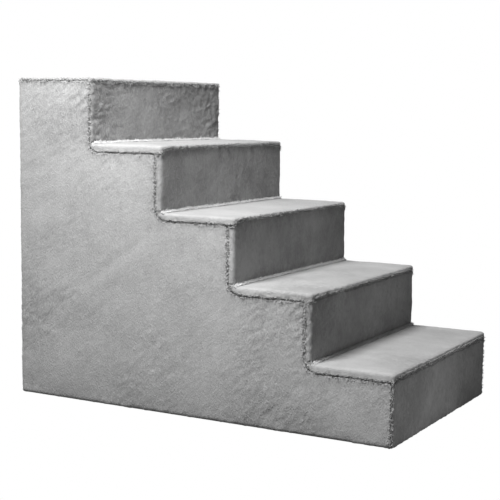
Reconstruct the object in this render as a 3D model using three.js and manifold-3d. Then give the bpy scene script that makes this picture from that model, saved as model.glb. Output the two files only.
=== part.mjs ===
// Five-step foam pet stairs: a core of glued foam slabs inside a sewn plush cover with a zip-out rear.
// Millimetres, +Z up. The lowest step faces -Y and the tall rear faces +Y. The origin is on the floor,
// under the middle of the whole object.
import * as THREE from 'three';
import { mergeVertices } from 'three/addons/utils/BufferGeometryUtils.js';
import Module from 'manifold-3d';

const wasm = await Module();
wasm.setup();

// ---- driving dimensions ----
const WIDTH = 430;
const STEPS = 5;
const FIRST_RISE = 117.5; // floor to the lowest tread
const RISE = 113.5; // tread to tread
const TREAD = 143.5; // depth of each step below the top one
const PLATFORM = 160; // depth of the top step
const FABRIC = 3; // plush with its backing
const GAP = 0.3; // free play between neighbouring pieces

// how far each step's fabric laps over the side before its seam, lowest step first
const TREAD_WRAP = [13, 13, 12, 13, FABRIC];
const RISER_WRAP = [FABRIC, 12, 12, 12, 5];
const VALLEY_BAND = [7, 7, 7, 4]; // width of that lap where a tread meets the next riser

// rear zip: a U of two coil rows, open at the top
const ZIP_X = 181; // middle of the upright runs
const ZIP_Z = 34; // middle of the bottom run
const ZIP_CORNER = 36; // bend radius of the chain's middle
const ZIP_TOP = 552; // upper end of the coils
const TAPE_THICK = 1;
const TAPE_REACH = 8; // from the chain's middle to the fabric edge
const ROW_INNER = 0.5; // a coil row, measured from the chain's middle
const ROW_OUTER = 3.1;
const ROW_THICK = 2;
const BORDER_EDGE = 10; // lap of each side panel onto the rear
const HINGE_Z = 500; // fold line of the rear flap
const REAR_SLACK = 2; // air between the foam and the rear of the cover

// zip slider and its pull
const SLIDER_LENGTH = 12;
const SLIDER_WIDE = 5.2; // half widths, at the mouth and at the tail
const SLIDER_NARROW = 4.4;
const PLATE_THICK = 1.2;
const PIN_RADIUS = 0.6;
const EYE_HOLE = 0.95;
const EYE_RADIUS = 1.75;
const PULL_LENGTH = 24;
const PULL_THICK = 1.2;

// ---- values worked out from them ----
const HALF = WIDTH / 2;
const DEPTH = TREAD * (STEPS - 1) + PLATFORM;
const PLATE_OUT = GAP + 0.4 + PLATE_THICK; // the slider plate's outer face, beyond the rear cover
const PIN_OUT = PLATE_OUT + 0.35 + EYE_RADIUS; // the pull's pin, beyond the rear cover
const FRONT = -(DEPTH + PIN_OUT + EYE_RADIUS) / 2;
const REAR = FRONT + DEPTH;
const SLIDER_Z = ZIP_TOP - SLIDER_LENGTH / 2 - 1; // parked at the closed end
const riserY = (step) => FRONT + TREAD * step;
const treadZ = (step) => FIRST_RISE + RISE * step;
const TOP = treadZ(STEPS - 1);

// ---- materials ----
const material = (color, roughness, metalness = 0) => (
  new THREE.MeshStandardMaterial({ color, roughness, metalness })
);
const PLUSH = () => material(0xcfccc8, 0.95);
const FOAM = () => material(0xe9e3cf, 0.9);
const GRIP = () => material(0x77777a, 0.85);
const TAPE = () => material(0xb9b7b4, 0.85);
const COIL = () => material(0xa9a8a6, 0.45);
const METAL = () => material(0x9c9c9e, 0.3, 1);

// ---- booleans ----
function toSolid(geometry) {
  const bare = geometry.clone();
  bare.deleteAttribute('normal');
  bare.deleteAttribute('uv');
  const merged = mergeVertices(bare, 1e-4);
  const mesh = new wasm.Mesh({
    numProp: 3,
    vertProperties: new Float32Array(merged.attributes.position.array),
    triVerts: new Uint32Array(merged.index.array),
  });
  return new wasm.Manifold(mesh);
}

function toGeometry(solid) {
  const mesh = solid.getMesh();
  const geometry = new THREE.BufferGeometry();
  geometry.setAttribute('position', new THREE.BufferAttribute(mesh.vertProperties, 3));
  geometry.setIndex(new THREE.BufferAttribute(mesh.triVerts, 1));
  geometry.computeVertexNormals();
  return geometry;
}

function join(geometries) {
  const [first, ...rest] = geometries.map(toSolid);
  return toGeometry(rest.reduce((whole, piece) => whole.add(piece), first));
}

function cut(geometry, tool) {
  return toGeometry(toSolid(geometry).subtract(toSolid(tool)));
}

// ---- basic shapes ----
// a box between two opposite corners
function block(low, high) {
  const size = high.map((value, axis) => value - low[axis]);
  const middle = high.map((value, axis) => (value + low[axis]) / 2);
  return new THREE.BoxGeometry(...size).translate(...middle);
}

// an outline drawn in Y and Z, given its thickness along +X from x
function sidePlate(outline, x, thick) {
  const geometry = new THREE.ExtrudeGeometry(outline, { depth: thick, bevelEnabled: false, curveSegments: 8 });
  const axes = [new THREE.Vector3(0, 1, 0), new THREE.Vector3(0, 0, 1), new THREE.Vector3(1, 0, 0)];
  return geometry.applyMatrix4(new THREE.Matrix4().makeBasis(...axes)).translate(x, 0, 0);
}

// an outline drawn in X and Z, given its thickness towards -Y from y
function facePlate(outline, y, thick) {
  const geometry = new THREE.ExtrudeGeometry(outline, { depth: thick, bevelEnabled: false, curveSegments: 8 });
  const axes = [new THREE.Vector3(1, 0, 0), new THREE.Vector3(0, 0, 1), new THREE.Vector3(0, -1, 0)];
  return geometry.applyMatrix4(new THREE.Matrix4().makeBasis(...axes)).translate(0, y, 0);
}

function polygon(points) {
  return new THREE.Shape(points.map(([across, up]) => new THREE.Vector2(across, up)));
}

function named(name, geometry, finish) {
  const mesh = new THREE.Mesh(geometry, finish);
  mesh.name = name;
  return mesh;
}

// ---- the seam that runs up each side ----
// The arc that carries the seam past the valley between a tread and the next riser. It is tangent to
// both straight seams and leaves VALLEY_BAND of fabric at the corner.
function valleyArc(step) {
  const rise = RISER_WRAP[step + 1];
  const drop = TREAD_WRAP[step];
  const band = VALLEY_BAND[step];
  const reach = rise + drop - band;
  const radius = reach + Math.sqrt(reach * reach - (rise * rise + drop * drop - band * band));
  return { y: riserY(step + 1) + rise - radius, z: treadZ(step) - drop + radius, radius };
}

// ---- foam core ----
function foamSlab(step) {
  const side = HALF - FABRIC - GAP;
  const bottom = step === 0 ? FABRIC + GAP : treadZ(step - 1) - FABRIC;
  const low = [-side, riserY(step) + FABRIC + GAP, bottom];
  const high = [side, REAR - FABRIC - GAP - REAR_SLACK, treadZ(step) - FABRIC - GAP];
  return named(`foam_slab_${step + 1}`, block(low, high), FOAM());
}

// ---- treads: a top with a flange down each side ----
function treadFlange(step) {
  const front = riserY(step);
  const back = riserY(step + 1) - GAP;
  const top = treadZ(step);
  const drop = TREAD_WRAP[step];
  const arc = valleyArc(step);
  const outline = new THREE.Shape();
  outline.moveTo(front, top);
  outline.lineTo(front, top - drop);
  outline.lineTo(arc.y, top - drop);
  const end = Math.acos((back - arc.y) / arc.radius);
  outline.absarc(arc.y, arc.z, arc.radius, -Math.PI / 2, -end, false);
  outline.lineTo(back, top);
  return outline;
}

function treadPanel(step) {
  const last = step === STEPS - 1;
  const back = last ? REAR : riserY(step + 1) - GAP;
  const top = treadZ(step);
  const sheet = block([-HALF, riserY(step), top - FABRIC], [HALF, back, top]);
  const pieces = [sheet];
  if (!last) {
    const outline = treadFlange(step);
    pieces.push(sidePlate(outline, -HALF, FABRIC), sidePlate(outline, HALF - FABRIC, FABRIC));
  }
  return named(`tread_panel_${step + 1}`, join(pieces), PLUSH());
}

// ---- risers: a front with a flange back along each side ----
function riserFlange(step) {
  const front = riserY(step);
  const back = front + RISER_WRAP[step];
  const top = treadZ(step) - TREAD_WRAP[step] - GAP;
  const outline = new THREE.Shape();
  outline.moveTo(front, top);
  if (step === 0) {
    outline.lineTo(front, 0);
    outline.lineTo(back, 0);
  } else {
    const arc = valleyArc(step - 1);
    const start = Math.acos((front - arc.y) / arc.radius);
    outline.absarc(arc.y, arc.z, arc.radius, -start, 0, false);
  }
  outline.lineTo(back, top);
  return outline;
}

function riserPanel(step) {
  const bottom = step === 0 ? 0 : treadZ(step - 1) - FABRIC;
  const shoulder = treadZ(step) - TREAD_WRAP[step] - GAP;
  const top = treadZ(step) - FABRIC - GAP;
  const neck = HALF - FABRIC - GAP;
  const face = polygon([
    [-HALF, bottom], [HALF, bottom], [HALF, shoulder], [neck, shoulder],
    [neck, top], [-neck, top], [-neck, shoulder], [-HALF, shoulder],
  ]);
  const outline = riserFlange(step);
  const pieces = [
    facePlate(step === STEPS - 1 ? topRiserFace(bottom) : face, riserY(step) + FABRIC, FABRIC),
    sidePlate(outline, -HALF, FABRIC),
    sidePlate(outline, HALF - FABRIC, FABRIC),
  ];
  return named(`riser_panel_${step + 1}`, join(pieces), PLUSH());
}

// the top step's tread has no side flange, so its riser keeps its full width to the top
function topRiserFace(bottom) {
  const top = TOP - FABRIC - GAP;
  return polygon([[-HALF, bottom], [HALF, bottom], [HALF, top], [-HALF, top]]);
}

// ---- side panels: the stepped outline inside the seam, lapped round the rear edge ----
function sideOutline() {
  const outline = new THREE.Shape();
  outline.moveTo(REAR, 0);
  outline.lineTo(REAR, TOP - FABRIC - GAP);
  for (let step = STEPS - 1; step >= 0; step -= 1) {
    const seamY = riserY(step) + RISER_WRAP[step] + GAP;
    const seamZ = treadZ(step) - TREAD_WRAP[step] - GAP;
    outline.lineTo(seamY, seamZ);
    if (step > 0) {
      const arc = valleyArc(step - 1);
      outline.absarc(arc.y, arc.z, arc.radius + GAP, 0, -Math.PI / 2, true);
    } else {
      outline.lineTo(seamY, 0);
    }
  }
  return outline;
}

function sidePanel(name, side) {
  const outer = side * HALF;
  const inner = side * (HALF - FABRIC);
  const lap = side * (HALF - BORDER_EDGE);
  const sheet = sidePlate(sideOutline(), Math.min(outer, inner), FABRIC);
  const low = [Math.min(outer, lap), REAR - FABRIC, 0];
  const high = [Math.max(outer, lap), REAR, TOP - FABRIC - GAP];
  return named(name, join([sheet, block(low, high)]), PLUSH());
}

function basePanel() {
  const side = HALF - FABRIC - GAP;
  const low = [-side, FRONT + FABRIC + GAP, 0];
  const high = [side, REAR - FABRIC - GAP, FABRIC];
  return named('base_panel', block(low, high), GRIP());
}

// ---- rear of the cover, drawn in X and Z on its outer face ----
// a U with round lower corners, a given distance outside the middle of the zip chain
function uLine(offset, top) {
  const path = new THREE.Path();
  const side = ZIP_X + offset;
  const radius = ZIP_CORNER + offset;
  const centreX = ZIP_X - ZIP_CORNER;
  const centreZ = ZIP_Z + ZIP_CORNER;
  path.moveTo(-side, top);
  path.lineTo(-side, centreZ);
  path.absarc(-centreX, centreZ, radius, Math.PI, 1.5 * Math.PI, false);
  path.lineTo(centreX, centreZ - radius);
  path.absarc(centreX, centreZ, radius, 1.5 * Math.PI, 2 * Math.PI, false);
  path.lineTo(side, top);
  return path.getPoints(8);
}

function uBand(inner, outer, top) {
  return new THREE.Shape([...uLine(outer, top), ...uLine(inner, top).reverse()]);
}

const BORDER_OUT = HALF - BORDER_EDGE - GAP; // outer edge of the rear border
const BORDER_IN = ZIP_X + TAPE_REACH + GAP; // its edge beside the zip
const BAY_TOP = ZIP_TOP + 4; // where the zip's cut-out ends

function rearTopStrip() {
  const neck = ZIP_X - SLIDER_WIDE - GAP;
  const top = TOP - FABRIC - GAP;
  const outline = polygon([
    [-neck, HINGE_Z], [neck, HINGE_Z], [neck, BAY_TOP + GAP], [BORDER_OUT, BAY_TOP + GAP],
    [BORDER_OUT, top], [-BORDER_OUT, top], [-BORDER_OUT, BAY_TOP + GAP], [-neck, BAY_TOP + GAP],
  ]);
  return named('rear_top_strip', facePlate(outline, 0, FABRIC), PLUSH());
}

function rearSideStrip(name, side) {
  const bottom = ZIP_Z + ZIP_CORNER + GAP;
  const low = [side > 0 ? BORDER_IN : -BORDER_OUT, -FABRIC, bottom];
  const high = [side > 0 ? BORDER_OUT : -BORDER_IN, 0, BAY_TOP];
  return named(name, block(low, high), PLUSH());
}

function rearBottomStrip() {
  const shoulder = ZIP_Z + ZIP_CORNER;
  const inside = uLine(TAPE_REACH + GAP, shoulder);
  const corners = [[BORDER_OUT, shoulder], [BORDER_OUT, 0], [-BORDER_OUT, 0], [-BORDER_OUT, shoulder]];
  const outside = corners.map(([x, z]) => new THREE.Vector2(x, z));
  const outline = new THREE.Shape([...inside, ...outside]);
  return named('rear_bottom_strip', facePlate(outline, 0, FABRIC), PLUSH());
}

function rearFlap() {
  const outline = new THREE.Shape(uLine(-TAPE_REACH - GAP, HINGE_Z - GAP));
  return named('rear_flap', facePlate(outline, 0, FABRIC), PLUSH());
}

// ---- zip ----
const TAPE_FRONT = -FABRIC + TAPE_THICK; // the tapes' outer face

function zipTape(name, inner, outer, top) {
  return named(name, facePlate(uBand(inner, outer, top), TAPE_FRONT, TAPE_THICK), TAPE());
}

function zipCoil(name, inner, outer, top) {
  const face = TAPE_FRONT + GAP + ROW_THICK;
  return named(name, facePlate(uBand(inner, outer, top), face, ROW_THICK), COIL());
}

function zipStop(name, side) {
  const middle = side * ZIP_X;
  const low = [middle - ROW_OUTER, TAPE_FRONT + GAP, ZIP_TOP + GAP];
  const high = [middle + ROW_OUTER, TAPE_FRONT + GAP + ROW_THICK + 0.5, ZIP_TOP + 3.5];
  return named(name, block(low, high), METAL());
}

// a short folded tab of cover fabric sewn over the end of the zip
function zipEndTab(name, side) {
  const middle = side * ZIP_X;
  const low = [middle - 11, GAP, BAY_TOP + 2 * GAP];
  const high = [middle + 11, GAP + 1, TOP - FABRIC - 1];
  return named(name, block(low, high), TAPE());
}

// The slider's two plates run in front of the coils and behind the tapes. A thin post between the
// rows joins them, lips steer the coils, and two ears hold the pull's pin.
function zipSlider() {
  const half = SLIDER_LENGTH / 2;
  const plan = polygon([
    [-SLIDER_NARROW, -half], [SLIDER_NARROW, -half], [SLIDER_WIDE, half * 0.4],
    [SLIDER_WIDE * 0.7, half], [-SLIDER_WIDE * 0.7, half], [-SLIDER_WIDE, half * 0.4],
  ]);
  const back = -FABRIC - 0.6; // outer face of the hidden plate
  const lipEnd = TAPE_FRONT + 0.4;
  const pieces = [
    facePlate(plan, PLATE_OUT, PLATE_THICK),
    facePlate(plan, back, PLATE_THICK),
    block([-0.2, back - 0.6, -1], [0.2, PLATE_OUT - 0.6, half - 1]),
    cylinderX(PIN_RADIUS, 5.6).translate(0, PIN_OUT, 0),
  ];
  for (const side of [-1, 1]) {
    const ear = [[side * 2, PLATE_OUT - 0.6, -1.3], [side * 3, PIN_OUT + 1.2, 1.3]];
    const lip = [[side * 3.5, lipEnd, -half], [side * SLIDER_NARROW, PLATE_OUT - 0.6, 0]];
    for (const [a, b] of [ear, lip]) {
      pieces.push(block([Math.min(a[0], b[0]), a[1], a[2]], [Math.max(a[0], b[0]), b[1], b[2]]));
    }
  }
  const mesh = named('zip_slider', join(pieces), METAL());
  mesh.position.set(ZIP_X, 0, SLIDER_Z);
  return mesh;
}

function cylinderX(radius, length) {
  return new THREE.CylinderGeometry(radius, radius, length, 16).rotateZ(Math.PI / 2);
}

// a tab with an eye at the top for the pin and a hole near its free end
function zipPull() {
  const plan = polygon([
    [-1.7, 0], [-1.7, -3], [-3.5, -6], [-3, 3 - PULL_LENGTH], [-1.5, -PULL_LENGTH],
    [1.5, -PULL_LENGTH], [3, 3 - PULL_LENGTH], [3.5, -6], [1.7, -3], [1.7, 0],
  ]);
  const tab = facePlate(plan, PULL_THICK / 2, PULL_THICK);
  const eye = cylinderX(EYE_RADIUS, 3.4);
  const grip = new THREE.CylinderGeometry(1.2, 1.2, 4, 16).translate(0, 0, 3.5 - PULL_LENGTH);
  const mesh = named('zip_pull', cut(cut(join([tab, eye]), cylinderX(EYE_HOLE, 6)), grip), METAL());
  mesh.position.set(ZIP_X, PIN_OUT, SLIDER_Z);
  return mesh;
}

// ---- assembly ----
const core = new THREE.Group();
const cover = new THREE.Group();
for (let step = 0; step < STEPS; step += 1) {
  core.add(foamSlab(step));
  cover.add(treadPanel(step), riserPanel(step));
}
cover.add(sidePanel('left_side_panel', -1), sidePanel('right_side_panel', 1), basePanel());

const rear = new THREE.Group();
rear.position.y = REAR;
rear.add(
  rearTopStrip(),
  rearSideStrip('rear_left_strip', -1),
  rearSideStrip('rear_right_strip', 1),
  rearBottomStrip(),
  zipTape('zip_tape_fixed', 2 * ROW_INNER, TAPE_REACH, BAY_TOP),
  zipCoil('zip_coil_fixed', ROW_INNER, ROW_OUTER, ZIP_TOP),
  zipStop('zip_stop_left', -1),
  zipStop('zip_stop_right', 1),
  zipEndTab('zip_end_tab_left', -1),
  zipEndTab('zip_end_tab_right', 1),
);

const flap = new THREE.Group();
flap.add(
  rearFlap(),
  zipTape('zip_tape_flap', -TAPE_REACH, -2 * ROW_INNER, HINGE_Z - GAP),
  zipCoil('zip_coil_flap', -ROW_OUTER, -ROW_INNER, HINGE_Z - GAP),
);
rear.add(flap, zipSlider(), zipPull());

const stairs = new THREE.Group();
stairs.add(core, cover, rear);
export default stairs;
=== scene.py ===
# %% [markdown]
# # Foam pet stairs in a plush cover
# A stack of foam slabs wears a sewn cover of short-pile plush. The model of the stairs comes in
# first as a fixed frame. Every piece below takes its size and place from it, so nothing is fitted by eye.

# %% Load the frame
import math
import random

import bmesh
import bpy
import numpy as np
from mathutils import Matrix, Vector, noise
from mathutils.bvhtree import BVHTree
from mathutils.kdtree import KDTree


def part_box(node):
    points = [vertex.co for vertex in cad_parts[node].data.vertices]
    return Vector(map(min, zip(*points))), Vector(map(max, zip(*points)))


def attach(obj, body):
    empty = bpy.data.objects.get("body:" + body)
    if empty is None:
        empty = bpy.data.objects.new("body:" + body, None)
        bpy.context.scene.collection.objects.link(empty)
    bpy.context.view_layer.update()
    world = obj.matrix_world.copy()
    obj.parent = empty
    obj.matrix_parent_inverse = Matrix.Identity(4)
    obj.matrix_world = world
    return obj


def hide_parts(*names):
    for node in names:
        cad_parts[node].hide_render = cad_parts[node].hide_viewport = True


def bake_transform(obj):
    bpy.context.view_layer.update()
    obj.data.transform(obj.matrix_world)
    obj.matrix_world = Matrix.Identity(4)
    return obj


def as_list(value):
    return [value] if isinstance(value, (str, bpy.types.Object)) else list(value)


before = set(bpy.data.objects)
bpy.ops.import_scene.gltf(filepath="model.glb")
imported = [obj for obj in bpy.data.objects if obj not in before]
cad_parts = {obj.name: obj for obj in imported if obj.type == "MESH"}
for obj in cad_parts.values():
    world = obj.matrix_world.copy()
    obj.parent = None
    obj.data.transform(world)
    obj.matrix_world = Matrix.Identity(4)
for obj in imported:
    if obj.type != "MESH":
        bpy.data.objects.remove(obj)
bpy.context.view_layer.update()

MM = 0.001

# %% [markdown]
# ## Measures
# The cover is sewn from flat cuts: five treads, five risers, two stepped sides and the rear. Their edges
# are read from the boxes of the solids that they replace. A tread laps down over the side by its box's
# height, and a riser laps back along the side by its box's depth.

# %% Read the cover's measures
STEPS = 5


def size_of(node):
    low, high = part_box(node)
    return high - low


RISER_Y = [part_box(f"riser_panel_{n + 1}")[0].y for n in range(STEPS)]
TREAD_Z = [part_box(f"tread_panel_{n + 1}")[1].z for n in range(STEPS)]
TREAD_DROP = [size_of(f"tread_panel_{n + 1}").z for n in range(STEPS)]
RISER_LAP = [size_of(f"riser_panel_{n + 1}").y for n in range(STEPS)]
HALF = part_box("right_side_panel")[1].x
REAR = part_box("rear_flap")[1].y
TOP = TREAD_Z[-1]
THICK = size_of("rear_flap").y
VALLEY_BAND = [7 * MM, 7 * MM, 7 * MM, 4 * MM]
NOSE_LIP = [9 * MM, 8 * MM, 4 * MM, 3.5 * MM, 4 * MM]
print("treads at", [round(z / MM, 1) for z in TREAD_Z], "mm; half width", round(HALF / MM, 1))

# %% [markdown]
# ## Camera
# A camera stands at head height of a small dog's owner who kneels well back, a little to the left of
# the lowest step. A long lens keeps the upright edges nearly parallel.

# %% Place the camera
VIEW_TURN = math.radians(-60.81)
VIEW_RISE = math.radians(6.67)
VIEW_ROLL = math.radians(0.66)
VIEW_DISTANCE = 2.248
VIEW_SHIFT = (-5.5 * MM, 265 * MM)
DEPTH_MIDDLE = (RISER_Y[0] + REAR) / 2


def look(turn, rise, roll, distance, shift, lens):
    back = Vector((math.sin(turn) * math.cos(rise), -math.cos(turn) * math.cos(rise), math.sin(rise)))
    right = Vector((math.cos(turn), math.sin(turn), 0))
    level = Matrix((right, back.cross(right), back)).transposed()
    facing = level @ Matrix.Rotation(roll, 3, "Z")
    place = facing @ Vector((*shift, 0)) + back * distance + Vector((0, DEPTH_MIDDLE, 0))
    data = bpy.data.cameras.new("camera")
    data.lens = lens
    data.sensor_width = 36
    camera = bpy.data.objects.new("camera", data)
    camera.matrix_world = Matrix.Translation(place) @ facing.to_4x4()
    bpy.context.scene.collection.objects.link(camera)
    bpy.context.scene.camera = camera
    return camera


camera = look(VIEW_TURN, VIEW_RISE, VIEW_ROLL, VIEW_DISTANCE, VIEW_SHIFT, 87.4)
print("camera at", [round(v, 3) for v in camera.location])

# %% [markdown]
# ## Shader maths
# A node tree written as arithmetic is easier to read than a list of links. This class wraps a socket, so
# `mask * 0.4 + 0.6` adds the two Math nodes that it needs.


# %% A socket that does arithmetic
class Value:
    def __init__(self, tree, socket):
        self.tree = tree
        self.socket = socket

    def _math(self, operation, a, b):
        return self.tree.node("ShaderNodeMath", {"operation": operation}, [a, b])

    def __add__(self, other):
        return self._math("ADD", self, other)

    def __sub__(self, other):
        return self._math("SUBTRACT", self, other)

    def __rsub__(self, other):
        return self._math("SUBTRACT", other, self)

    def __mul__(self, other):
        return self._math("MULTIPLY", self, other)

    def __truediv__(self, other):
        return self._math("DIVIDE", self, other)

    def __pow__(self, other):
        return self._math("POWER", self, other)

    __radd__ = __add__
    __rmul__ = __mul__


class Finish:
    """A material under construction: node() adds any node and returns its first output."""

    def __init__(self, name):
        self.material = bpy.data.materials.new(name)
        self.material.use_nodes = True
        self.nodes = self.material.node_tree.nodes
        self.links = self.material.node_tree.links
        self.shader = self.nodes["Principled BSDF"]
        self.coords = self.node("ShaderNodeTexCoord", output="Object")

    def node(self, kind, settings=None, inputs=(), output=0):
        node = self.nodes.new(kind)
        for key, value in (settings or {}).items():
            if key == "stops":
                self._ramp(node, value)
            else:
                setattr(node, key, value)
        named = inputs.items() if isinstance(inputs, dict) else enumerate(inputs)
        for key, value in named:
            self.feed(node.inputs[key], value)
        return Value(self, node.outputs[output])

    def _ramp(self, node, stops):
        ramp = node.color_ramp
        while len(ramp.elements) < len(stops):
            ramp.elements.new(0.5)
        for element, (place, colour) in zip(ramp.elements, stops):
            element.position = place
            element.color = (*colour, 1)

    def feed(self, socket, value):
        if isinstance(value, Value):
            self.links.new(value.socket, socket)
        else:
            socket.default_value = value

    def set(self, **sockets):
        for key, value in sockets.items():
            self.feed(self.shader.inputs[key.replace("_", " ").title().replace("Ior", "IOR")], value)

    def moved(self, scale, turn=(0, 0, 0)):
        inputs = {"Vector": self.coords, "Scale": scale, "Rotation": turn}
        return self.node("ShaderNodeMapping", inputs=inputs)

    def noise(self, where, scale, detail=2.0, rough=0.5):
        inputs = {"Vector": where, "Scale": scale, "Detail": detail, "Roughness": rough}
        return self.node("ShaderNodeTexNoise", inputs=inputs)

    def mix(self, factor, a, b):
        node = self.node("ShaderNodeMix", {"data_type": "RGBA"}, {0: factor, 6: a, 7: b}, output=2)
        return node

    def ramp(self, value, low, high):
        inputs = {"Value": value, "From Min": low, "From Max": high}
        return self.node("ShaderNodeMapRange", {"clamp": True}, inputs)

    def bump(self, height, distance, strength=1.0):
        inputs = {"Strength": strength, "Distance": distance, "Height": height}
        self.feed(self.shader.inputs["Normal"], self.node("ShaderNodeBump", inputs=inputs))


# %% [markdown]
# ## Plush
# Short-pile plush is a mat of fine fibres. Three things show at arm's length: a fine grain where fibres
# clump, soft patches where a hand has brushed the nap another way, and streaks along the nap. The grain
# goes into the bump, and patches and streaks change the colour by a few parts in a hundred. Sheen on
# the shader itself gives the pale bloom on edges that turn away.

# %% Plush
PLUSH_PALE = (0.42, 0.42, 0.42, 1)
PLUSH_DEEP = (0.26, 0.26, 0.26, 1)


def plush(name, grain_scale, grain_turn, streak_scale, streak_turn, patch_strength, mottle, lift=1.0):
    """Short pile: a fine grain drawn out along the nap, brushed patches, and stronger marks and painted shade where
    ruffled or beside a seam.
    """
    finish = Finish(name)
    here = finish.coords
    ruffle = finish.node("ShaderNodeAttribute", {"attribute_name": "ruffle"}, output="Fac")
    nap = finish.moved(grain_scale, grain_turn)
    grain = finish.noise(nap, 1.0, 4, 0.72)
    clumps = finish.node("ShaderNodeTexNoise", inputs={"Vector": nap, "Scale": 0.42, "Detail": 3.0,
                                                      "Roughness": 0.6, "Distortion": 1.2})
    streaks = finish.noise(finish.moved(streak_scale, streak_turn), 1.0, 3, 0.55)
    patches = finish.ramp(finish.noise(here, 10, 3, 0.6), 0.34, 0.68)
    marks = (clumps - 0.5) * (ruffle * 1.4 + mottle) + (grain - 0.5) * (ruffle * 0.8 + 0.5)
    # The last term is painted shade: the plush gets darker where the pile is ruffled and beside seams.
    tone = marks + patches * patch_strength + streaks * 0.5 + (0.37 - patch_strength / 2) - ruffle * 0.3
    # lift scales both colours: above 1 it paints a lighter copy of the plush, below 1 a darker one, standing in for
    # light and shade.
    deep, pale = [(*(value * lift for value in shade[:3]), 1) for shade in (PLUSH_DEEP, PLUSH_PALE)]
    finish.set(base_color=finish.mix(finish.ramp(tone, 0.0, 1.0), deep, pale))
    finish.set(roughness=0.92, sheen_weight=0.3, sheen_roughness=0.45, specular_ior_level=0.12)
    finish.bump(grain + clumps * (ruffle * 0.9 + 0.5), 2.2 * MM, 0.5)
    print("finish", name)
    return finish.material


NAP_UP = math.radians(48)
PLUSH_SIDE = plush("plush_side", (330, 420, 230), (-NAP_UP, 0, 0), (20, 110, 26), (-NAP_UP, 0, 0), 0.25, 0.1)
PLUSH_TREAD = plush("plush_tread", (420, 260, 400), (0, 0, 0.2), (45, 9, 45), (0, 0, -0.35), 0.45, 0.1)
# The fringe plush is the tread plush painted 1.65 times lighter, as light on the tufts in the valleys.
PLUSH_FRINGE_PAINTED_LIGHT = plush("plush_fringe_painted_light", (420, 260, 400), (0, 0, 0.2), (45, 9, 45), (0, 0, -0.35), 0.45, 0.1, 1.65)
# The riser plush is painted darker, at 0.94 of the others' brightness, as shade on the risers; its stronger patches
# and mottling are the fabric's own.
PLUSH_RISER_PAINTED_SHADE = plush("plush_riser_painted_shade", (380, 380, 260), (0, 0, 0), (60, 60, 26), (0, 0, 0), 0.8, 1.2, 0.94)

# %% [markdown]
# ## Even spacing
# Many grids, seams and rows of stitches need lines about a given step apart that also pass through some
# fixed marks. One helper works them out.


# %% Evenly spaced stops
def stops(marks, step):
    """Numbers through every mark, and about a step apart between them."""
    lines = []
    for a, b in zip(marks, marks[1:]):
        count = max(1, round(abs(b - a) / step))
        lines += [a + (b - a) * k / count for k in range(count)]
    return lines + [marks[-1]]


# %% [markdown]
# ## The side seam
# Seen from the side, the seam follows the steps a little inside their outline. In each inner corner it
# swings round on an arc, so the lap narrows to a thin crescent there.


# %% The seam's arcs
def valley_arc(n):
    """Centre and radius of the seam's arc between tread n and the riser above it."""
    lap, drop, band = RISER_LAP[n + 1], TREAD_DROP[n], VALLEY_BAND[n]
    reach = lap + drop - band
    radius = reach + math.sqrt(reach**2 - (lap**2 + drop**2 - band**2))
    return RISER_Y[n + 1] + lap - radius, TREAD_Z[n] - drop + radius, radius


def arc_point(n, angle):
    y, z, radius = valley_arc(n)
    return y + radius * math.cos(angle), z + radius * math.sin(angle)


VALLEY_RISE = 4 * MM
JOIN_ANGLE = -20


def tread_seam(n, run):
    """The point of the side seam for the edge of tread n; run goes on past the valley, up the riser."""
    flat = TREAD_Z[n] - TREAD_DROP[n]
    if n == STEPS - 1 or run < valley_arc(n)[0]:
        return run, flat
    start = valley_arc(n)[0]
    share = (run - start) / (RISER_Y[n + 1] + VALLEY_RISE - start)
    return arc_point(n, math.radians(-90 + (90 + JOIN_ANGLE) * share))


def riser_seam(n, z):
    """The point of the side seam that the edge of riser n at z is sewn to."""
    back = RISER_Y[n] + RISER_LAP[n]
    if n == 0:
        return back, z
    foot, arc_end = TREAD_Z[n - 1] + VALLEY_RISE, valley_arc(n - 1)[1]
    end = max(arc_end, foot + 6 * MM)
    if z > end:
        return back, z
    share = max(0, (z - foot) / (end - foot))
    y, height = arc_point(n - 1, math.radians(JOIN_ANGLE * (1 - share)))
    return y, height + (end - arc_end) * share


def nose_lip(n, x):
    """How far the tread's fabric rolls over its nose at x: more at the ends, where it meets the lap."""
    end = min(1, max(0, (abs(x) - (HALF - 24 * MM)) / (24 * MM)))
    return NOSE_LIP[n] + (TREAD_DROP[n] - NOSE_LIP[n]) * end * end


# %% The outline of a side panel
REAR_LAP = size_of("right_side_panel").x
BOTTOM_TUCK = 5 * MM
SEAM_ROUND = 7 * MM
BORDER = 4.2 * MM
WEAVE_STEP = 3.0 * MM


def rounded(corner, radius, count=5):
    """Points of a quarter turn that rounds the front top corner of a step in a side panel."""
    y, z = corner
    turns = [math.pi / 2 * k / count for k in range(count + 1)]
    return [(y + radius - radius * math.sin(t), z - radius + radius * math.cos(t)) for t in turns]


def side_outline(inset):
    back = REAR + REAR_LAP - inset
    points = [(back, inset - BOTTOM_TUCK), (back, TOP - TREAD_DROP[-1] - inset)]
    for n in reversed(range(STEPS)):
        corner = (RISER_Y[n] + RISER_LAP[n] + inset, TREAD_Z[n] - TREAD_DROP[n] - inset)
        points += rounded(corner, SEAM_ROUND - inset)
        if n:
            y, z, radius = valley_arc(n - 1)
            count = max(4, round(radius * math.pi / 2 / WEAVE_STEP))
            turns = [-math.pi / 2 * k / count for k in range(count + 1)]
            grown = radius + inset
            points += [(y + grown * math.cos(t), z + grown * math.sin(t)) for t in turns]
    return points + [(RISER_Y[0] + RISER_LAP[0] + inset, inset - BOTTOM_TUCK)]


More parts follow.
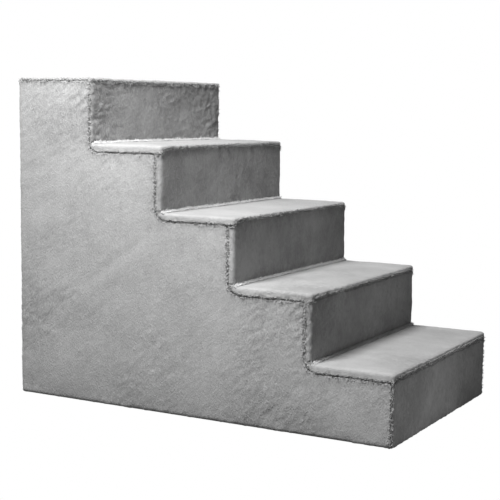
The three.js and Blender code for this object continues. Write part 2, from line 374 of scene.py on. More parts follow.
def seam_points(step=4 * MM):
    """Points all along the seams and the sharp edges of the cover."""
    points = []
    for x in stops([-HALF, HALF], step):
        points += [(x, RISER_Y[n], TREAD_Z[n] - NOSE_LIP[n]) for n in range(STEPS)]
        points += [(x, RISER_Y[n + 1], TREAD_Z[n] + VALLEY_RISE) for n in range(STEPS - 1)]
        points += [(x, RISER_Y[0], 0), (x, REAR, 0), (x, REAR, TOP)]
    outline = side_outline(0)
    for a, b in zip(outline[1:], outline[2:]):
        for share in stops([0, 1], step / math.dist(a, b)):
            y, z = a[0] + (b[0] - a[0]) * share, a[1] + (b[1] - a[1]) * share
            points += [(x, min(y, REAR), max(z, 0)) for x in (-HALF, HALF)]
    return points


print("seam outline has", len(side_outline(0)), "corners")

# %% [markdown]
# ## The shape under the cover
# The cover is pulled over foam, so its shape is a stepped block with soft edges, a little larger all
# round than the foam by the height of the pile. It starts as the stepped outline and is given its width.
# Its edges and inner corners are then bevelled. The panels are laid on this form later.

# %% Make the stepped form
FORM_STEP = 5.0 * MM
EDGE_ROUND = 5.0 * MM
VALLEY_ROUND = 4.5 * MM
PLUMP = 1.4 * MM


def stair_outline():
    points = [(RISER_Y[0] - PLUMP, 0.0)]
    for n in range(STEPS):
        points.append((RISER_Y[n] - PLUMP, TREAD_Z[n] + PLUMP))
        back = RISER_Y[n + 1] - PLUMP if n + 1 < STEPS else REAR + PLUMP
        points.append((back, TREAD_Z[n] + PLUMP))
    return points + [(REAR + PLUMP, 0.0)]


def make_object(name, bm, finish=None):
    mesh = bpy.data.meshes.new(name)
    bm.to_mesh(mesh)
    bm.free()
    mesh.shade_smooth()
    obj = bpy.data.objects.new(name, mesh)
    bpy.context.scene.collection.objects.link(obj)
    if finish:
        mesh.materials.append(finish)
    return obj


def apply_modifiers(obj):
    graph = bpy.context.evaluated_depsgraph_get()
    mesh = bpy.data.meshes.new_from_object(obj.evaluated_get(graph))
    obj.modifiers.clear()
    obj.data = mesh
    return obj


def near_valley(point, reach):
    ends = zip(RISER_Y[1:], TREAD_Z)
    return any(math.hypot(point.y - y, point.z - z) < reach for y, z in ends)


def block_form():
    width = HALF + PLUMP
    bm = bmesh.new()
    face = bm.faces.new([bm.verts.new((-width, y, z)) for y, z in stair_outline()])
    grown = bmesh.ops.extrude_face_region(bm, geom=[face])["geom"]
    moved = [v for v in grown if isinstance(v, bmesh.types.BMVert)]
    bmesh.ops.translate(bm, verts=moved, vec=(2 * width, 0, 0))
    bmesh.ops.recalc_face_normals(bm, faces=bm.faces)
    valleys = [e for e in bm.edges if all(near_valley(v.co, 3 * MM) for v in e.verts) and e.calc_length() > HALF]
    bmesh.ops.bevel(bm, geom=valleys, offset=VALLEY_ROUND, segments=4, profile=0.5, affect="EDGES", material=-1)
    sharp = [e for e in bm.edges if e.calc_face_angle_signed() > 0.6]
    bmesh.ops.bevel(bm, geom=sharp, offset=EDGE_ROUND, segments=4, profile=0.5, affect="EDGES", material=-1)
    return bm


block = block_form()
FORM = BVHTree.FromBMesh(block)
print("form has", len(block.faces), "faces")

# %% [markdown]
# ## Let the cover puff
# Cloth simulation gives the cover the slight crown that a stuffed cover has. An even mesh of the form
# has its seams pinned, air pressure pushes the rest out, and a little slack in the cloth lets it ripple.
# The movement is scaled to a few millimetres, since foam holds the cover almost flat. Any cut can then
# ask how far the cover moved at a place.

# %% Pin the seams and blow
PUFF_LIMIT = 3.2 * MM
PIN_REACH = 6 * MM
PUFF_FRAMES = 14


def away_from(points):
    """A function that gives the distance to the nearest of some points."""
    tree = KDTree(len(points))
    for index, point in enumerate(points):
        tree.insert(point, index)
    tree.balance()
    return lambda point: tree.find(point)[2]


def even_mesh(bm):
    form = make_object("form", bm)
    remesh = form.modifiers.new("even", "REMESH")
    remesh.mode = "VOXEL"
    remesh.voxel_size = FORM_STEP
    return apply_modifiers(form)


def puff(form):
    """Blows the form up, and returns its points at rest with the way each of them moved."""
    rest = np.array([v.co for v in form.data.vertices])
    seam_gap = away_from(seam_points())
    pins = form.vertex_groups.new(name="pins")
    held = [v.index for v in form.data.vertices if seam_gap(v.co) < PIN_REACH or v.co.y > REAR - MM]
    pins.add(held, 1.0, "ADD")
    cloth = form.modifiers.new("cloth", "CLOTH")
    cloth.settings.vertex_group_mass = "pins"
    cloth.settings.use_pressure = True
    cloth.settings.uniform_pressure_force = 4
    cloth.settings.effector_weights.gravity = 0
    cloth.settings.shrink_min = -0.012
    cloth.settings.quality = 4
    cloth.point_cache.frame_end = PUFF_FRAMES
    for number in range(1, PUFF_FRAMES + 1):
        bpy.context.scene.frame_set(number)
    apply_modifiers(form)
    moved = np.array([v.co for v in form.data.vertices]) - rest
    furthest = np.linalg.norm(moved, axis=1).max()
    moved *= min(1.0, PUFF_LIMIT / furthest)
    print("cloth moved by up to", round(furthest / MM, 1), "mm, kept to", PUFF_LIMIT / MM)
    return rest, moved


PUFF_TREE = KDTree(0)
PUFF_TREE.balance()
puffed = even_mesh(block)
puff_rest, puff_moved = puff(puffed)
bpy.data.objects.remove(puffed)
PUFF_TREE = KDTree(len(puff_rest))
for index, point in enumerate(puff_rest):
    PUFF_TREE.insert(point, index)
PUFF_TREE.balance()


def puff_at(point):
    """How far the blown cover moved here: a mean of the nearest simulated points, the closer the heavier."""
    total, weights = Vector(), 1e-9
    for _, index, gap in PUFF_TREE.find_n(point, 5):
        weight = 1 / (gap + MM) ** 2
        total += Vector(puff_moved[index]) * weight
        weights += weight
    return total / weights


# %% [markdown]
# ## Laying a cut on the form
# A tailor cuts a panel flat and pulls it over the shape. Here a flat grid is folded round the sharp
# block first, and then each point moves to the nearest point of the soft form.


# %% Helpers for cut panels
def lay_on_form(bm, rounds=1):
    for vert in bm.verts:
        vert.co = FORM.find_nearest(vert.co)[0]
    inside = [v for v in bm.verts if not v.is_boundary]
    for _ in range(rounds):
        bmesh.ops.smooth_vert(bm, verts=inside, factor=0.5, use_axis_x=True, use_axis_y=True,
                              use_axis_z=True)
    for vert in bm.verts:
        vert.co += puff_at(vert.co)
    face_outwards(bm)


def face_outwards(bm):
    bmesh.ops.recalc_face_normals(bm, faces=bm.faces)
    agree = sum(f.normal.dot(FORM.find_nearest(f.calc_center_median())[1]) for f in list(bm.faces)[::7])
    if agree < 0:
        bmesh.ops.reverse_faces(bm, faces=bm.faces)


def place_grid(bm, columns, rows, place):
    """A grid primitive whose lines are moved to the given columns and rows."""
    nx, ny = len(columns) - 1, len(rows) - 1
    bmesh.ops.create_grid(bm, x_segments=nx, y_segments=ny, size=1)
    for vert in bm.verts:
        u = columns[round((vert.co.x + 1) / 2 * nx)]
        v = rows[round((vert.co.y + 1) / 2 * ny)]
        vert.co = place(u, v)


# %% [markdown]
# ## Treads
# Each tread is like a shallow lid: a flat top whose edges are folded down at the front and both sides.
# Rows of edges are extruded down from the grid, close together near the seam, where the cloth dips.

# %% Treads
FOLD_ROWS = (0.18, 0.36, 0.52, 0.66, 0.78, 0.87, 0.94, 1.0)


def fold_edges(bm, edges, target, shares=FOLD_ROWS):
    """Extrudes edges in rows towards target(point), a point on the seam for each edge point."""
    start = bm.verts.layers.float_vector.new("start")
    seam = bm.verts.layers.float_vector.new("seam")
    for vert in {v for e in edges for v in e.verts}:
        vert[start] = vert.co
        vert[seam] = target(vert.co)
    for share in shares:
        made = bmesh.ops.extrude_edge_only(bm, edges=edges)["geom"]
        edges = [e for e in made if isinstance(e, bmesh.types.BMEdge)]
        for vert in (v for v in made if isinstance(v, bmesh.types.BMVert)):
            vert.co = vert[start].lerp(vert[seam], share)


def edge_columns():
    return stops([-HALF, HALF], WEAVE_STEP)


def tread_bmesh(n):
    last = n == STEPS - 1
    back = REAR if last else RISER_Y[n + 1]
    end = back if last else back + VALLEY_RISE
    rows = stops([RISER_Y[n], end - 3.6 * MM], WEAVE_STEP) + [end - 2.4 * MM, end - 1.2 * MM, end]
    bm = bmesh.new()

    def place(x, run):
        up = max(0, run - back)
        return Vector((x, run - up, TREAD_Z[n] + up))

    place_grid(bm, edge_columns(), rows, place)

    def folded(edge):
        at = (edge.verts[0].co + edge.verts[1].co) / 2
        return abs(at.x) > HALF - 1e-5 or at.y < RISER_Y[n] + 1e-5 or (last and at.y > back - 1e-5)

    def target(point):
        if abs(point.x) > HALF - 1e-5:
            y, z = tread_seam(n, point.y + point.z - TREAD_Z[n])
            return Vector((point.x, y, z))
        drop = TREAD_DROP[n] if point.y > RISER_Y[n] + 1e-5 else nose_lip(n, point.x)
        return point - Vector((0, 0, drop))

    fold_edges(bm, [e for e in bm.edges if e.is_boundary and folded(e)], target)
    lay_on_form(bm, rounds=0)
    return bm


# %% [markdown]
# ## Risers
# A riser is a flat front whose two side edges are folded back along the sides. The top one meets the
# lip of the tread above, and the lowest one rolls under the bottom edge.

# %% Risers
def riser_bmesh(n):
    foot = 0.0 if n == 0 else TREAD_Z[n - 1] + VALLEY_RISE
    marks = [foot, foot + 4 * MM, TREAD_Z[n] - 4 * MM, TREAD_Z[n]]
    rows = stops(marks[:2], 1.3 * MM)[:-1] + stops(marks[1:3], WEAVE_STEP)[:-1] + stops(marks[2:], 1 * MM)
    height = TREAD_Z[n] - foot
    bm = bmesh.new()

    def place(x, z):
        share = (z - foot) / height
        return Vector((x, RISER_Y[n], foot + share * (height - nose_lip(n, x))))

    place_grid(bm, edge_columns(), rows, place)

    def target(point):
        y, z = riser_seam(n, point.z)
        return Vector((point.x, y, z))

    side_edges = [e for e in bm.edges if e.is_boundary and all(abs(v.co.x) > HALF - 1e-5 for v in e.verts)]
    fold_edges(bm, side_edges, target)
    if n == 0:
        foot_edges = [e for e in bm.edges if e.is_boundary and all(v.co.z < 1e-5 for v in e.verts)]
        for _ in range(3):
            made = bmesh.ops.extrude_edge_only(bm, edges=foot_edges)["geom"]
            foot_edges = [e for e in made if isinstance(e, bmesh.types.BMEdge)]
            turned = [v for v in made if isinstance(v, bmesh.types.BMVert)]
            bmesh.ops.translate(bm, verts=turned, vec=(0, BOTTOM_TUCK / 3, 0))
    lay_on_form(bm)
    return bm


# %% [markdown]
# ## Cutting a panel to an outline
# The sides and the rear pieces aren't rectangles. A face is made from the outline and is cut through
# along even lines, first one way and then the other, which leaves clean cells that end on the seam.


# %% Cut along an outline
def cut_panel(outline, lines_u, lines_v, merge=1.0 * MM):
    bm = bmesh.new()
    bm.faces.new([bm.verts.new((u, v, 0)) for u, v in outline])
    for lines, across in ((lines_u, Vector((1, 0, 0))), (lines_v, Vector((0, 1, 0)))):
        for line in lines:
            everything = bm.verts[:] + bm.edges[:] + bm.faces[:]
            bmesh.ops.bisect_plane(bm, geom=everything, dist=1e-6, plane_co=across * line, plane_no=across)
    bmesh.ops.remove_doubles(bm, verts=bm.verts, dist=merge)
    return bm


def grow_border(bm, inner, outer):
    """Adds rows of narrow faces between the cut's edge, which is on the inner outline, and the outer one."""
    inner = [Vector((*p, 0)) for p in inner]
    outer = [Vector((*p, 0)) for p in outer]

    def target(point):
        best = (1.0, None)
        for k, a in enumerate(inner):
            b = inner[k - 1]
            along = b - a
            share = min(1, max(0, (point - a).dot(along) / along.length_squared))
            away = (a + along * share - point).length
            if away < best[0]:
                best = (away, outer[k].lerp(outer[k - 1], share))
        return best[1]

    fold_edges(bm, [e for e in bm.edges if e.is_boundary], target, (0.34, 0.62, 0.84, 1.0))


# %% [markdown]
# ## Side panels
# One cut covers a whole side. Below and behind, it runs past the edge of the form and is folded under
# the base and round the rear, so no seam shows on those edges.

# %% Side panels
def side_bmesh(side):
    across = sorted([RISER_Y[n] + RISER_LAP[n] for n in range(STEPS)] + [REAR, REAR + REAR_LAP])
    up = [-BOTTOM_TUCK, 0.0] + [TREAD_Z[n] - TREAD_DROP[n] for n in range(STEPS)]
    inner = side_outline(BORDER)
    bm = cut_panel(inner, stops(across, WEAVE_STEP)[1:-1], stops(up, WEAVE_STEP)[1:-1])
    grow_border(bm, inner, side_outline(0))
    for vert in bm.verts:
        y, z = vert.co.x, vert.co.y
        inward = max(y - REAR, 0) + max(-z, 0)
        vert.co = (side * (HALF - inward), min(y, REAR), max(z, 0))
    lay_on_form(bm)
    return bm


# %% [markdown]
# ## Seams, puckers and pile
# Where two cuts are sewn together, both dip into the seam, and the stitches pull them in unevenly. Just
# beside the dip the cloth stands a little proud. The pile itself is uneven too. Each point moves along
# its normal by the sum of these.

# %% Where the pile is ruffled
# Each entry is a place on the cover, how far the ruffled patch reaches, and how strong it is.
RUFFLED = [
    ((-0.185, RISER_Y[4], 0.535), 0.050, 0.9),
    ((-0.195, RISER_Y[4], 0.480), 0.030, 0.6),
    ((0.185, RISER_Y[4], 0.530), 0.045, 0.9),
    ((0.040, RISER_Y[4], 0.555), 0.060, 0.6),
    ((-0.180, RISER_Y[4], 0.465), 0.025, 0.5),
    ((-0.150, RISER_Y[1], 0.205), 0.050, 0.9),
    ((0.100, RISER_Y[1], 0.190), 0.050, 0.5),
    ((-0.120, RISER_Y[0], 0.080), 0.070, 0.9),
    ((0.080, RISER_Y[0], 0.060), 0.070, 0.7),
    ((0.120, RISER_Y[3], 0.420), 0.050, 0.4),
    ((-HALF, 0.300, 0.540), 0.110, 0.5),
    ((-HALF, 0.330, 0.150), 0.060, 1.0),
    ((-HALF, -0.200, 0.190), 0.050, 0.8),
    ((-HALF, -0.150, 0.030), 0.080, 0.8),
    ((-HALF, 0.120, 0.030), 0.060, 0.6),
    ((HALF, 0.250, 0.500), 0.100, 0.8),
    ((HALF, -0.100, 0.100), 0.090, 0.8),
]
CALM = 0.2


def ruffle_at(point):
    """How much the pile is disturbed here: low where it lies flat, above 1 in ruffled patches."""
    amount = CALM + max(0.0, 0.9 * noise.noise(point * 11))
    for place, reach, strength in RUFFLED:
        amount += strength * math.exp(-(((point - Vector(place)).length / reach) ** 2))
    return amount


# %% Shape the surface of a cut
DIP_WIDTH = 1.1 * MM
PUCKER_LENGTH = 8 * MM
LUMPS = 0.8 * MM
PILE_COARSE = 0.8 * MM
PILE_FINE = 0.7 * MM


def pull_at(point):
    """How hard the stitches pull here, from 0 to 1. Both cuts at a seam get the same answer."""
    along = point.x + point.y + point.z
    drift = noise.noise(point * 45)
    return 0.5 + 0.5 * math.cos(2 * math.pi * along / PUCKER_LENGTH + 7 * drift)


def edge_points(bm):
    return [v.co.copy() for v in bm.verts if v.is_boundary]


def curl(where, scale):
    """Noise whose features curl like small commas, because its place is bent by more noise."""
    bend = noise.noise_vector(where * scale * 0.6)
    return noise.noise(where * scale + bend * 0.9)


def shape_surface(bm, dip_at, nap=Matrix.Identity(3), seed=0):
    edge_gap = away_from(edge_points(bm))
    shift = Vector((seed * 3.1, 0, 0))
    bm.normal_update()
    ruffle = bm.verts.layers.float.new("ruffle")
    moves = []
    for vert in bm.verts:
        point = vert.co
        away = edge_gap(point)
        dip, crest = dip_at(point)
        near = math.exp(-away / (7 * MM))
        where = nap @ point + shift
        amount = ruffle_at(point)
        # Near a cut's edge the value rises, so the plush there gets stronger marks and painted shade in the seam.
        vert[ruffle] = amount + 0.9 * near
        move = LUMPS * noise.noise(point * 22 + shift) * (1 - near)
        move += PILE_COARSE * amount * curl(where, 80)
        move += PILE_FINE * (amount + 1.6 * near) * noise.noise(where * 170)
        if away < 14 * MM:
            pull = pull_at(point)
            width = DIP_WIDTH * (0.7 + 0.6 * pull)
            move -= dip * (0.6 + 0.6 * pull) * math.exp(-((away / width) ** 2))
            ridge = math.exp(-(((away - 5 * MM) / (3 * MM)) ** 2))
            move += crest * ridge * (1.3 - 0.9 * pull)
        moves.append(move)
    for vert, move in zip(bm.verts, moves):
        vert.co += vert.normal * move
        vert.co.z = max(vert.co.z, 0.2 * MM)


# %% [markdown]
# ## Repeated small shapes
# Tufts of pile, zip teeth, stitches and grip dots are hundreds of copies of one small shape. The shape is
# made once with an operator. Its copies are appended to one mesh, and all points are placed in one step.


# %% Repeat a shape
def stand(place, along, across, up, size=(1, 1, 1)):
    """The matrix that puts a shape's X, Y and Z on three directions, scaled, at a place."""
    axes = Matrix((along * size[0], across * size[1], up * size[2])).transposed()
    return Matrix.Translation(place) @ axes.to_4x4()


def repeat_shape(one, places):
    small = bpy.data.meshes.new("small")
    one.to_mesh(small)
    one.free()
    bm = bmesh.new()
    for _ in places:
        bm.from_mesh(small)
    corners = np.array([(*v.co, 1.0) for v in small.vertices])
    moved = np.einsum("pij,vj->pvi", np.array(places), corners)[:, :, :3].reshape(-1, 3)
    for vert, place in zip(bm.verts, moved):
        vert.co = place
    bpy.data.meshes.remove(small)
    return bm


# %% [markdown]
# ## Tufts along the seams
# At a seam the pile has nowhere to lie, so it stands up in small uneven tufts that half hide the stitches.
# Each tuft is a thin cone. It is rooted near the edge of a cut and leans over the seam by chance.

# %% Tufts
SEAM_DENSITY = 3000
SIDE_DENSITY = 1500
TUFT_REACH = 5 * MM
VALLEY_DENSITY = 6000
VALLEY_LEAN = Vector((0.1, -0.35, 0.9))


def in_valley(point):
    return near_valley(point, 12 * MM) and abs(point.x) < HALF - 2 * MM


def off_valley(point):
    return not in_valley(point)


def tuft_places(bm, seed, keep, density, rise):
    draw = random.Random(seed)
    surface = BVHTree.FromBMesh(bm)
    places = []
    for edge in [e for e in bm.edges if e.is_boundary]:
        middle = (edge.verts[0].co + edge.verts[1].co) / 2
        if not keep(middle):
            continue
        run = edge.verts[1].co - edge.verts[0].co
        inward = (edge.link_faces[0].calc_center_median() - middle).normalized()
        fringe = in_valley(middle)
        dense = VALLEY_DENSITY if fringe else density * (0.35 + 1.3 * pull_at(middle))
        for _ in range(int(run.length * dense + draw.random())):
            back = 2 * TUFT_REACH * draw.random() if fringe else TUFT_REACH * draw.random() ** 1.4
            root = edge.verts[0].co + run * draw.random() + inward * back
            root, normal = surface.find_nearest(root)[:2]
            lean = normal * draw.uniform(*rise) - inward * draw.uniform(-0.3, 0.9)
            if fringe:
                lean = VALLEY_LEAN + normal * draw.uniform(-0.1, 0.3)
            up = (lean + run.normalized() * draw.uniform(-0.9, 0.9)).normalized()
            side = up.orthogonal().normalized()
            width = draw.uniform(0.7, 1.7) * MM
            length = draw.uniform(2.4, 5.4) * MM * (0.7 + 0.6 * pull_at(middle) if fringe else 1)
            place = root - normal * 0.4 * MM
            places.append(stand(place, side, up.cross(side), up, (width, width, length)))
    return places


def add_tufts(name, bm, material, seed, keep=lambda point: True, density=SEAM_DENSITY, rise=(0.15, 0.7)):
    one = bmesh.new()
    bmesh.ops.create_cone(one, cap_ends=True, segments=3, radius1=0.6, radius2=0, depth=1)
    bmesh.ops.translate(one, verts=one.verts, vec=(0, 0, 0.5))
    obj = make_object(name, repeat_shape(one, tuft_places(bm, seed, keep, density, rise)), material)
    print(name, len(obj.data.polygons) // 4, "tufts")
    return obj


# %% [markdown]
# ## Cloth with a back
# A cut gets its thickness inwards, so its pile side keeps its shape. Its inner side is a bare knit, which
# shows where the rear flap opens.


# %% Knit backing and finished cloth
def knit():
    finish = Finish("knit_backing")
    loops = finish.node("ShaderNodeTexWave", inputs={"Vector": finish.coords, "Scale": 520, "Distortion": 0.6})
    rows = finish.node("ShaderNodeTexWave", {"bands_direction": "Z"}, {"Vector": finish.coords, "Scale": 330})
    worn = finish.noise(finish.coords, 30, 3)
    finish.set(base_color=finish.mix(worn, (0.34, 0.335, 0.33, 1), (0.48, 0.475, 0.47, 1)))
    finish.set(roughness=0.95, sheen_weight=0.1)
    finish.bump(loops * rows, 0.4 * MM, 0.7)
    return finish.material


KNIT = knit()
CLOTH_THICK = 2.4 * MM
THIN_AT_FLOOR = 0.1


def finish_cloth(name, bm, material, nodes, body="stairs", thickness=CLOTH_THICK):
    """Turns a shaped cut into a piece with the cloth's thickness that stands for its solids."""
    obj = make_object(name, bm, material)
    obj.data.materials.append(KNIT)
    solid = obj.modifiers.new("cloth_thickness", "SOLIDIFY")
    solid.thickness = thickness
    solid.offset = -1
    solid.material_offset = 1
    raised = obj.vertex_groups.new(name="raised")
    raised.add([v.index for v in obj.data.vertices if v.co.z > 3 * MM], 1.0, "ADD")
    solid.vertex_group = "raised"
    solid.thickness_vertex_group = THIN_AT_FLOOR
    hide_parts(*nodes)
    if body:
        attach(obj, body)
    print(name, len(obj.data.polygons), "faces")
    return obj


def cut_area(bm):
    return sum(face.calc_area() for face in bm.faces)


def declare_sheet(obj, width, length, area, pieces=()):
    area = min(area, width * length)
    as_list(pieces)


# %% [markdown]
# ## Sew the treads, risers and sides
# A valley seam lies in a soft corner and barely dips, while the seams on noses and sides are pulled in
# by about three millimetres.

# %% Treads and risers on the form
SIDE_DIP = (1.8 * MM, 0.1 * MM)
NOSE_DIP = (0.9 * MM, 0.1 * MM)
VALLEY_DIP = (0.2 * MM, 0.0)
FLAT = (0.0, 0.0)
CORE = [f"foam_slab_{n + 1}" for n in range(STEPS)]


def strip_dip(point):
    if near_valley(point, 14 * MM) and abs(point.x) < HALF - 8 * MM:
        return VALLEY_DIP
    if abs(point.x) > HALF - 6 * MM:
        return SIDE_DIP
    return NOSE_DIP if point.z > 12 * MM else FLAT


def above_floor(point):
    return point.z > 4 * MM


def on_riser_seam(point):
    """A riser's pile lies flat under the tread's at its foot, so no tufts stand there."""
    return above_floor(point) and not near_valley(point, 12 * MM)


for n in range(STEPS):
    step = n + 1
    bm = tread_bmesh(n)
    area = cut_area(bm)
    shape_surface(bm, strip_dip, Matrix.Diagonal((1, 0.6, 1)), 10 + n)
    tufts = [add_tufts(f"tread_{step}_tufts", bm, PLUSH_TREAD, 100 + n, off_valley)]
    if n < STEPS - 1:
        # The valley tufts take the painted lighter plush.
        tufts.append(add_tufts(f"tread_{step}_fringe", bm, PLUSH_FRINGE_PAINTED_LIGHT, 150 + n, in_valley))
    for piece in tufts:
        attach(piece, "stairs")
    obj = finish_cloth(f"tread_{step}", bm, PLUSH_TREAD, [f"tread_panel_{step}"])
    back = REAR + TREAD_DROP[n] if n == STEPS - 1 else RISER_Y[n + 1] + VALLEY_RISE
    length = back - RISER_Y[n] + TREAD_DROP[n]
    declare_sheet(obj, 2 * (HALF + TREAD_DROP[n]), length, area, tufts)

    bm = riser_bmesh(n)
    area = cut_area(bm)
    shape_surface(bm, strip_dip, Matrix.Diagonal((0.65, 1, 0.9)), 20 + n)
    tufts = add_tufts(f"riser_{step}_tufts", bm, PLUSH_RISER_PAINTED_SHADE, 200 + n, on_riser_seam)
    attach(tufts, "stairs")
    obj = finish_cloth(f"riser_{step}", bm, PLUSH_RISER_PAINTED_SHADE, [f"riser_panel_{step}"])
    height = TREAD_Z[n] - (TREAD_Z[n - 1] if n else -BOTTOM_TUCK)
    declare_sheet(obj, 2 * (HALF + RISER_LAP[n]), height, area, [tufts])


# %% Side panels on the form
SIDE_NAP = Matrix.Diagonal((1, 1, 0.4)) @ Matrix.Rotation(math.radians(-48), 3, "X")


def side_dip(point):
    if point.z < 12 * MM or point.y > REAR - 1 * MM:
        return (0.5 * MM, 0.2 * MM)
    return SIDE_DIP


for name, side, seed in (("left_side", -1, 31), ("right_side", 1, 33)):
    bm = side_bmesh(side)
    area = cut_area(bm)
    shape_surface(bm, side_dip, SIDE_NAP, seed)
    tufts = add_tufts(f"{name}_tufts", bm, PLUSH_SIDE, 300 + seed, above_floor, SIDE_DENSITY, (0.02, 0.3))
    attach(tufts, "stairs")
    obj = finish_cloth(name, bm, PLUSH_SIDE, [f"{name}_panel"])
    declare_sheet(obj, REAR + REAR_LAP - RISER_Y[0], TOP + BOTTOM_TUCK, area, [tufts])

# %% [markdown]
# ## The zip's line
# A flap in the rear closes a window with a zip round three of its sides. Everything there follows one U:
# down a side, round a corner, along the bottom and up again, at some offset from the middle of the teeth.

# %% The U of the zip
ZIP_X = (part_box("zip_pull")[0].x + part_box("zip_pull")[1].x) / 2
ZIP_HALF_GAP = ZIP_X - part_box("zip_coil_flap")[1].x
ZIP_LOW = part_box("zip_coil_flap")[0].z - ZIP_HALF_GAP
ZIP_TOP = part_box("zip_coil_fixed")[1].z
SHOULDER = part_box("rear_bottom_strip")[1].z
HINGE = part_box("rear_top_strip")[0].z
BAY_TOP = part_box("zip_tape_fixed")[1].z
CORNER = SHOULDER - ZIP_LOW
REVEAL = ZIP_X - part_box("rear_flap")[1].x


def u_line(offset, top, step, low_end=SHOULDER):
    """Points (x, z) of the U at an offset outwards, from its upper left end to its upper right one."""
    arm, radius, middle = ZIP_X + offset, CORNER + offset, ZIP_X - CORNER
    half = [(-arm, z) for z in stops([top, low_end], step)]
    count = round(CORNER * math.pi / 2 / step)
    for k in range(1, count + 1):
        turn = math.pi / 2 * k / count
        half.append((-middle - radius * math.cos(turn), SHOULDER - radius * math.sin(turn)))
    half += [(x, ZIP_LOW - offset) for x in stops([-middle, 0], step)[1:]]
    return half + [(-x, z) for x, z in reversed(half[:-1])]


zip_line = u_line(0, ZIP_TOP, 3 * MM)
zip_length = sum(math.dist(a, b) for a, b in zip(zip_line, zip_line[1:]))
print("zip line is", round(zip_length / MM), "mm long")

# %% [markdown]
# ## Rear cuts
# Top, sides and bottom of the rear are fixed, and the flap hangs from the top on a sewn fold.

# %% Rear cloth
FOLD_HALF = 6 * MM
FOLD_TOP = HINGE + FOLD_HALF
FLAP_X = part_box("rear_flap")[1].x
STRIP_IN, STRIP_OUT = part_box("rear_right_strip")[0].x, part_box("rear_right_strip")[1].x
TOP_EDGE = TOP - TREAD_DROP[-1]


def face_towards(bm, direction):
    bmesh.ops.recalc_face_normals(bm, faces=bm.faces)
    if sum(f.normal.dot(direction) for f in bm.faces) < 0:
        bmesh.ops.reverse_faces(bm, faces=bm.faces)


def rear_cut(outline, step=3.2 * MM):
    """A flat cut in the rear's plane, with closer lines near its outer edges for the rolled border."""
    near = [1.0 * MM, 2.2 * MM]
    lines = []
    for values in zip(*outline):
        low, high = min(values), max(values)
        even = stops([low + near[1], high - near[1]], step)
        lines.append([low + near[0]] + even + [high - near[0]])
    bm = cut_panel(outline, *lines)
    for vert in bm.verts:
        vert.co = (vert.co.x, REAR, vert.co.y)
    face_towards(bm, Vector((0, 1, 0)))
    return bm


def rear_dip(point):
    beside_zip = abs(point.x) < STRIP_IN + 4 * MM and point.z < BAY_TOP + 4 * MM
    deep = beside_zip and abs(point.z - FOLD_TOP) > 4 * MM
    return (1.6 * MM, 0.4 * MM) if deep else (0.7 * MM, 0.2 * MM)


rear_surfaces = {}
rear_cuts = {}


def rear_piece(name, outline, nodes, seed, body="stairs"):
    bm = rear_cut(outline)
    area = cut_area(bm)
    shape_surface(bm, rear_dip, SIDE_NAP, seed)
    rear_surfaces[name] = BVHTree.FromBMesh(bm)
    obj = finish_cloth(name, bm, PLUSH_SIDE, nodes, body, thickness=THICK)
    width = max(x for x, _ in outline) - min(x for x, _ in outline)
    height = max(z for _, z in outline) - min(z for _, z in outline)
    rear_cuts[name] = (obj, width, height, area)
    return obj


neck = [(-FLAP_X, FOLD_TOP), (FLAP_X, FOLD_TOP), (FLAP_X, BAY_TOP), (STRIP_OUT, BAY_TOP)]
rear_piece("rear_top", neck + [(STRIP_OUT, TOP_EDGE), (-STRIP_OUT, TOP_EDGE), (-STRIP_OUT, BAY_TOP),
                               (-FLAP_X, BAY_TOP)], ["rear_top_strip"], 41)
for name, side, seed in (("rear_left", -1, 43), ("rear_right", 1, 45)):
    strip = [(STRIP_IN, SHOULDER), (STRIP_OUT, SHOULDER), (STRIP_OUT, BAY_TOP), (STRIP_IN, BAY_TOP)]
    rear_piece(name, [(side * x, z) for x, z in strip], [f"{name}_strip"], seed)
under_zip = u_line(STRIP_IN - ZIP_X, SHOULDER, 4 * MM)
rear_piece("rear_bottom", [(-STRIP_OUT, SHOULDER)] + under_zip[1:-1] + [(STRIP_OUT, SHOULDER), (STRIP_OUT, 0),
                                                                   (-STRIP_OUT, 0)], ["rear_bottom_strip"], 47)


# %% Bake the flap's placement into its mesh
def bend_at_fold(obj):
    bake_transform(obj)


flap_edge = u_line(-REVEAL, HINGE - 2 * FOLD_HALF, 4 * MM)
flap = rear_piece("flap", [(-FLAP_X, FOLD_TOP)] + flap_edge + [(FLAP_X, FOLD_TOP)], ["rear_flap"], 49, None)
bend_at_fold(flap)


# %% [markdown]
# ## Tapes and teeth
# The zip is a coil zip: each side is a woven tape with a row of nylon loops, and the loops of both sides
# mesh. A tape is a grid bent along the U. A loop is a small rounded bar, repeated all along it.


# %% Finishes of the zip
def woven_tape():
    finish = Finish("zip_tape")
    twill = finish.node("ShaderNodeTexWave", {"bands_direction": "DIAGONAL"},
                        {"Vector": finish.coords, "Scale": 420, "Distortion": 0.3})
    ribs = finish.node("ShaderNodeTexWave", {"bands_direction": "X"}, {"Vector": finish.coords, "Scale": 260})
    worn = finish.noise(finish.coords, 60, 3)
    finish.set(base_color=finish.mix(worn * 0.5 + twill * 0.4, (0.26, 0.26, 0.26, 1), (0.42, 0.42, 0.42, 1)))
    finish.set(roughness=0.8, sheen_weight=0.1)
    finish.bump(twill * 0.6 + ribs * 0.4, 0.3 * MM, 0.8)
    return finish.material


def nylon():
    finish = Finish("zip_coil")
    grain = finish.noise(finish.coords, 400, 2)
    worn = finish.noise(finish.coords, 45, 3)
    finish.set(base_color=finish.mix(worn, (0.34, 0.34, 0.34, 1), (0.5, 0.5, 0.5, 1)))
    finish.set(roughness=grain * 0.2 + 0.28)
    finish.bump(grain, 0.05 * MM, 0.4)
    return finish.material


